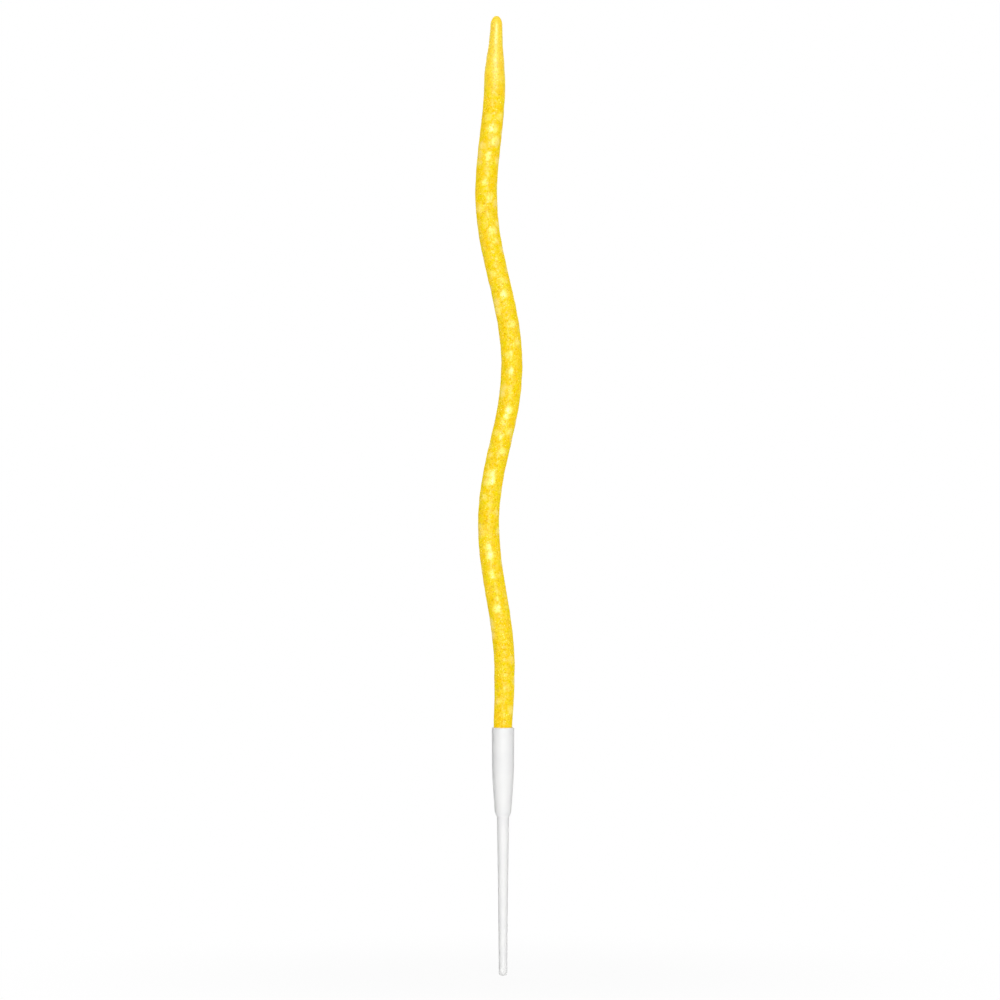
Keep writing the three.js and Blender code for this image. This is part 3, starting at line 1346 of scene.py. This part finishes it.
@dataclass
class Wick:
    """The braided cotton wick in the middle of the wax.

    Attributes:
        setback: How far its upper end is below the wax's.
        lay_length: The length in which a strand goes once round.
        weaves_per_lay: How many times it goes in and out in that length.
        weave_lead: How far a strand's weave is ahead, over its place round the braid.
        weave_depth: How far it goes in and out from its middle way.
    """

    shape: CandleShape
    radius: float = 0.5 * MM
    setback: float = 0.7 * MM
    spine_points: int = 600
    strands: int = 8
    strand_radius: float = 0.15 * MM
    strand_sides: int = 6
    lay_length: float = 4.4 * MM
    steps_per_lay: int = 16
    weaves_per_lay: float = 4.0
    weave_lead: float = 2.0
    weave_depth: float = 0.05 * MM
    sharp_edge: float = 70
    finish: WaxedCotton = field(default_factory=WaxedCotton)

    @property
    def top(self) -> float:
        """The wick's upper end, as a height above the candle's foot."""
        wax_top = self.shape.wave.length - self.shape.coat_thickness - self.shape.layer_gap
        return wax_top - self.setback

    def spine(self) -> bpy.types.Object:
        """Makes the line down the middle of the wick.

        Returns:
            A curve, to be braided round.
        """
        heights = np.linspace(0, self.top, self.spine_points)
        straight = np.column_stack([np.zeros_like(heights), np.zeros_like(heights), heights])
        curve = bpy.data.curves.new("wick_spine", "CURVE")
        curve.dimensions = "3D"
        line = curve.splines.new("POLY")
        line.points.add(len(heights) - 1)
        bent = self.shape.wave.bend(straight)
        line.points.foreach_set("co", np.column_stack([bent, np.ones(len(bent))]).ravel())
        return new_object("wick_spine", curve)

    def braid(self) -> GrowthBench:
        """Builds the tree that braids strands round a line.

        Returns:
            The tree's bench.
        """
        bench = GrowthBench(
            "braid",
            ("Strand radius", "Braid radius", "Weave depth", "Lay length"),
            ("Strands", "Steps", "Strand sides"),
        )
        line = bench.add(
            "GeometryNodeResampleCurve",
            {"mode": "COUNT"},
            Curve=bench.geometry,
            Count=bench["Steps"],
        )
        copies = bench.add(
            "GeometryNodeDuplicateElements",
            {"domain": "SPLINE"},
            Geometry=line,
            Amount=bench["Strands"],
        )
        strand = copies.other("Duplicate Index")
        odd = bench.maths("MODULO", strand, 2.0)
        way = Lay.CLOCKWISE.value + odd * (Lay.ANTICLOCKWISE.value - Lay.CLOCKWISE.value)
        length = bench.add("GeometryNodeSplineParameter").other("Length")
        turn = length / bench["Lay length"] * (2 * math.pi)
        start = strand / bench["Strands"] * (2 * math.pi)
        angle = start + way * turn
        weave = bench.maths("COSINE", turn * self.weaves_per_lay + start * self.weave_lead)
        reach = bench["Braid radius"] + way * weave * bench["Weave depth"]
        sideways = (0.0, 1.0, 0.0)
        heading = bench.add("GeometryNodeInputTangent")
        across = bench.vector_maths("CROSS_PRODUCT", sideways, heading)
        out = bench.vector_maths(
            "ADD",
            bench.scaled(across, reach * bench.maths("COSINE", angle)),
            bench.add("ShaderNodeCombineXYZ", Y=reach * bench.maths("SINE", angle)),
        )
        strands = bench.add("GeometryNodeSetPosition", Geometry=copies, Offset=out)
        section = bench.add(
            "GeometryNodeCurvePrimitiveCircle",
            {"mode": "RADIUS"},
            Resolution=bench["Strand sides"],
            Radius=bench["Strand radius"],
        )
        bench.end(
            bench.add(
                "GeometryNodeCurveToMesh", Curve=strands, Profile_Curve=section, Fill_Caps=True
            )
        )
        return bench

    def build(self) -> bpy.types.Object:
        """Makes the wick, in place of its CAD node.

        Returns:
            The wick.
        """
        spine = self.spine()
        mesh = self.braid().grow(
            spine,
            self,
            steps=round(self.top / self.lay_length * self.steps_per_lay),
            braid_radius=self.radius - self.strand_radius - self.weave_depth,
            material=self.finish.material(),
        )
        discard(spine)
        smooth(mesh, self.sharp_edge)
        return stand_for(new_object("braided_wick", mesh), "wick", CANDLE_BODY)


# The studio


@dataclass(frozen=True)
class Softbox:
    """A rectangular lamp that faces the candle.

    Attributes:
        name: The lamp's name.
        azimuth: Its way round from the front, in degrees, towards +X.
        elevation: Its height above the level, in degrees.
        distance: How far it stands from the candle.
        width: Its width.
        height: Its height.
        brightness: The radiance of its face, where white paper in daylight is 1.
        lighting: Whether it lights what isn't glossy.
        mirrored: Whether it shows in a gloss.
    """

    name: str
    azimuth: float
    elevation: float
    distance: float
    width: float
    height: float
    brightness: float
    lighting: bool = True
    mirrored: bool = True

    def build(self, target: Vector) -> bpy.types.Object:
        """Sets the lamp up.

        Args:
            target: The point that it faces.

        Returns:
            The lamp.
        """
        lamp = bpy.data.lights.new(self.name, "AREA")
        lamp.shape = "RECTANGLE"
        lamp.size = self.width
        lamp.size_y = self.height
        lamp.energy = self.brightness * math.pi * self.width * self.height
        stand = new_object(self.name, lamp)
        stand.visible_diffuse = self.lighting
        stand.visible_glossy = self.mirrored
        side, up = math.radians(self.azimuth), math.radians(self.elevation)
        level = math.cos(up)
        away = Vector((math.sin(side) * level, -math.cos(side) * level, math.sin(up)))
        stand.location = target + away * self.distance
        stand.rotation_euler = (-away).to_track_quat("-Z", "Y").to_euler()
        return stand


@dataclass
class Studio:
    """The plain white studio: floor, soft light, and the photograph's camera.

    Attributes:
        picture_side: The picture's side, in pixels.
        tip_row: The pixel row of the candle's tip.
        spike_row: The pixel row of the spike's end.
        axis_column: The pixel column of the holder's axis.
        lens: The camera's focal length in millimetres, as Blender takes it.
        sensor: The width of its sensor in millimetres, too.
        near: The least distance that it sees.
        ambient: The strength of the plain grey light from all round.
        floor_colour: The floor's colour near the candle.
        floor_size: The floor's side.
        floor_glow: The share of white in the floor as it is seen near the candle.
        fade_start: How far from the candle the floor starts to fade into the white.
        fade_end: How far from it the floor is all white.
        lamps: The lamps.
    """

    picture_side: float = 1000
    tip_row: float = 15.9
    spike_row: float = 975.5
    axis_column: float = 503
    lens: float = 200
    sensor: float = 36
    near: float = 10 * MM
    ambient: float = 0.17
    floor_colour: Colour = (0.92, 0.92, 0.92)
    floor_size: float = 6
    floor_glow: float = 0.93
    fade_start: float = 0.01
    fade_end: float = 0.12
    lamps: tuple[Softbox, ...] = (
        Softbox("key_softbox", 5, 8, 1.5, 1.1, 0.8, 6.45, mirrored=False),
        Softbox("gloss_softbox", 3, 4, 1.5, 0.5, 0.6, 48, lighting=False),
        Softbox("top_softbox", 180, 86, 1.4, 1.0, 1.0, 0.8),
        Softbox("rear_softbox", 190, 25, 1.5, 1.2, 0.8, 4.4),
    )

    def camera(self, low: Vector, high: Vector) -> None:
        """Sets the camera up, level, so that the candle lands where the photograph has it.

        Args:
            low: The lowest corner of the part's box.
            high: Its highest corner.
        """
        scale = (high.z - low.z) / (self.spike_row - self.tip_row)
        middle = self.picture_side / 2
        aim_x = (middle - self.axis_column) * scale
        aim_z = high.z + (self.tip_row - middle) * scale
        width = self.picture_side * scale
        lens = bpy.data.cameras.new("camera")
        lens.lens = self.lens
        lens.sensor_width = self.sensor
        lens.clip_start = self.near
        camera = new_object("camera", lens)
        camera.location = (aim_x, -width * self.lens / self.sensor, aim_z)
        camera.rotation_euler = (math.pi / 2, 0, 0)
        bpy.context.scene.camera = camera

    def seen(self, bench: NodeBench) -> Signal:
        """Tells what is seen from what is only lit.

        Args:
            bench: The bench of the tree that asks.

        Returns:
            1 for what the camera sees straight on, in a gloss or through glass, else 0.
        """
        path = bench.add("ShaderNodeLightPath")
        straight = bench.maths("MAXIMUM", path, path.other("Is Glossy Ray"))
        return bench.maths("MAXIMUM", straight, path.other("Is Transmission Ray"))

    def sky(self) -> None:
        """Makes the world white to the eye, and a plain grey light for everything else."""
        world = bpy.data.worlds.new("white_room")
        world.use_nodes = True
        world.node_tree.nodes.clear()
        bench = NodeBench(world.node_tree)
        strength = self.ambient + self.seen(bench) * (1 - self.ambient)
        light = bench.add("ShaderNodeBackground", Color=(1, 1, 1, 1), Strength=strength)
        bench.add("ShaderNodeOutputWorld", Surface=light)
        bpy.context.scene.world = world

    def floor(self, level: float) -> None:
        """Lays a pale floor that fades into the white round the candle.

        Args:
            level: The floor's height.
        """
        half = self.floor_size / 2
        corners = [(-half, -half), (half, -half), (half, half), (-half, half)]
        points = np.array([(x, y, level) for x, y in corners])
        ground = mesh_object("floor", points, [(0, 1, 2, 3)])
        bench = MaterialBench("floor_paper")
        flat = bench.vector_maths("MULTIPLY", bench.where, (1, 1, 0))
        reach = bench.vector_maths("LENGTH", flat)
        paper = bench.add("ShaderNodeBsdfDiffuse", Color=(*self.floor_colour, 1))
        white = bench.add("ShaderNodeEmission", Strength=1.0)
        glow = self.floor_glow + reach.rise(self.fade_start, self.fade_end) * (1 - self.floor_glow)
        share = glow * self.seen(bench)
        dress(ground, bench.end(bench.add("ShaderNodeMixShader", None, share, paper, white)))

    def build(self) -> None:
        """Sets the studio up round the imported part."""
        low, high = CAD_BOX
        self.camera(low, high)
        self.sky()
        self.floor(low.z)
        middle = (low + high) / 2
        for lamp in self.lamps:
            lamp.build(middle)
        bpy.context.scene.view_settings.view_transform = "Standard"
        LOG.info("studio: %d lamps", len(self.lamps))


def main() -> None:
    """Builds the studio, the holder and the candle."""
    logging.basicConfig(level=logging.INFO, format="%(message)s")
    Studio().build()
    holder = Holder()
    holder.build()
    shape = CandleShape(holder)
    WaxCore().build()
    Wick(shape).build()
    GlitterCoat(shape).build()


if __name__ == "__main__":
    main()
